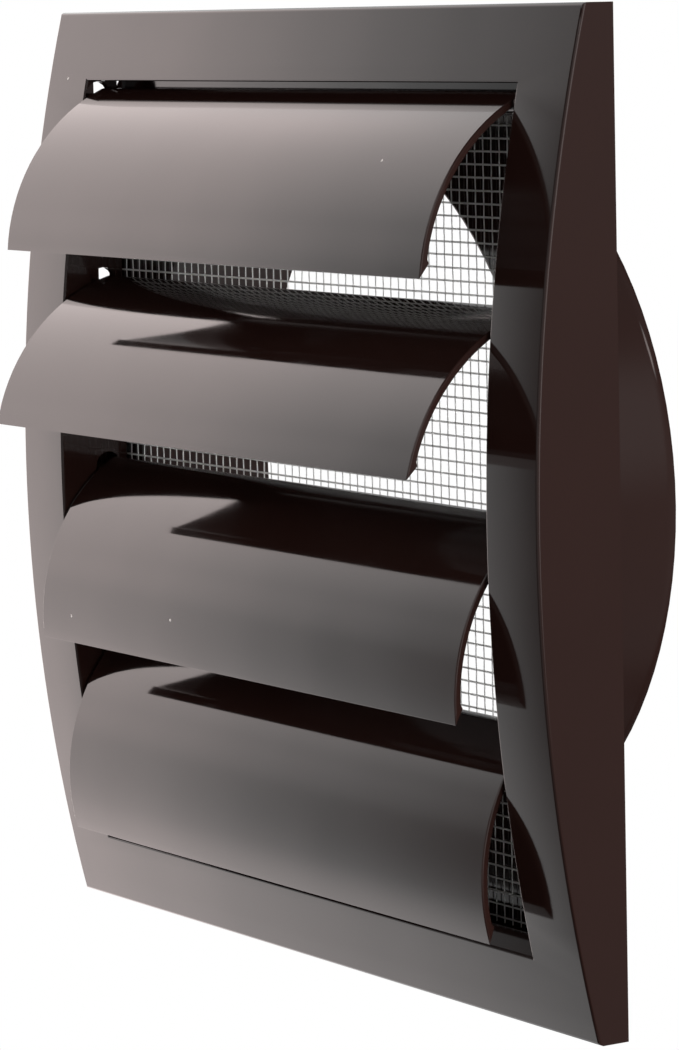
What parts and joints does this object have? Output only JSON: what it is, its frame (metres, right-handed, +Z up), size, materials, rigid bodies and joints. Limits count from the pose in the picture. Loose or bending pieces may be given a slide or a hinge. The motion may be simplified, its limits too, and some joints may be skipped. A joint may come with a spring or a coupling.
{
  "type": "dryer vent cover",
  "caption": "Square bulged wall cover with gravity flaps hinged along their top edges, an insect screen, and a round spigot behind for a 150 mm duct.",
  "frame": {"origin": "on the spigot's axis, in the plane of the wall (the back faces of the duct plate and of the frame's rim)", "axes": "+Z up, +Y into the wall along the spigot, -Y out of the wall towards the viewer, X across the front along the flaps' pins"},
  "size_m": [0.19, 0.0636, 0.19],
  "materials": {
    "brown_plastic": "high gloss moulded plastic, dark brown",
    "screen_net": "pale grey square net"
  },
  "bodies": {
    "root": {"front_frame": "brown_plastic", "duct_plate": "brown_plastic", "insect_screen": "screen_net"},
    "flap_1": {"flap_1": "brown_plastic"},
    "flap_2": {"flap_2": "brown_plastic"},
    "flap_3": {"flap_3": "brown_plastic"},
    "flap_4": {"flap_4": "brown_plastic"}
  },
  "joints": [
    {"name": "flap_1_hinge", "type": "hinge", "parent": "root", "child": "flap_1", "pos_m": [0, -0.0086, 0.07705], "axis": [-1, 0, 0], "range_deg": [-31.8, 18.2]},
    {"name": "flap_2_hinge", "type": "hinge", "parent": "root", "child": "flap_2", "pos_m": [0, -0.0086, 0.03785], "axis": [-1, 0, 0], "range_deg": [-39, 11]},
    {"name": "flap_3_hinge", "type": "hinge", "parent": "root", "child": "flap_3", "pos_m": [0, -0.0086, -0.00135], "axis": [-1, 0, 0], "range_deg": [-21.2, 28.8]},
    {"name": "flap_4_hinge", "type": "hinge", "parent": "root", "child": "flap_4", "pos_m": [0, -0.0086, -0.04055], "axis": [-1, 0, 0], "range_deg": [-13.5, 39.5]}
  ]
}
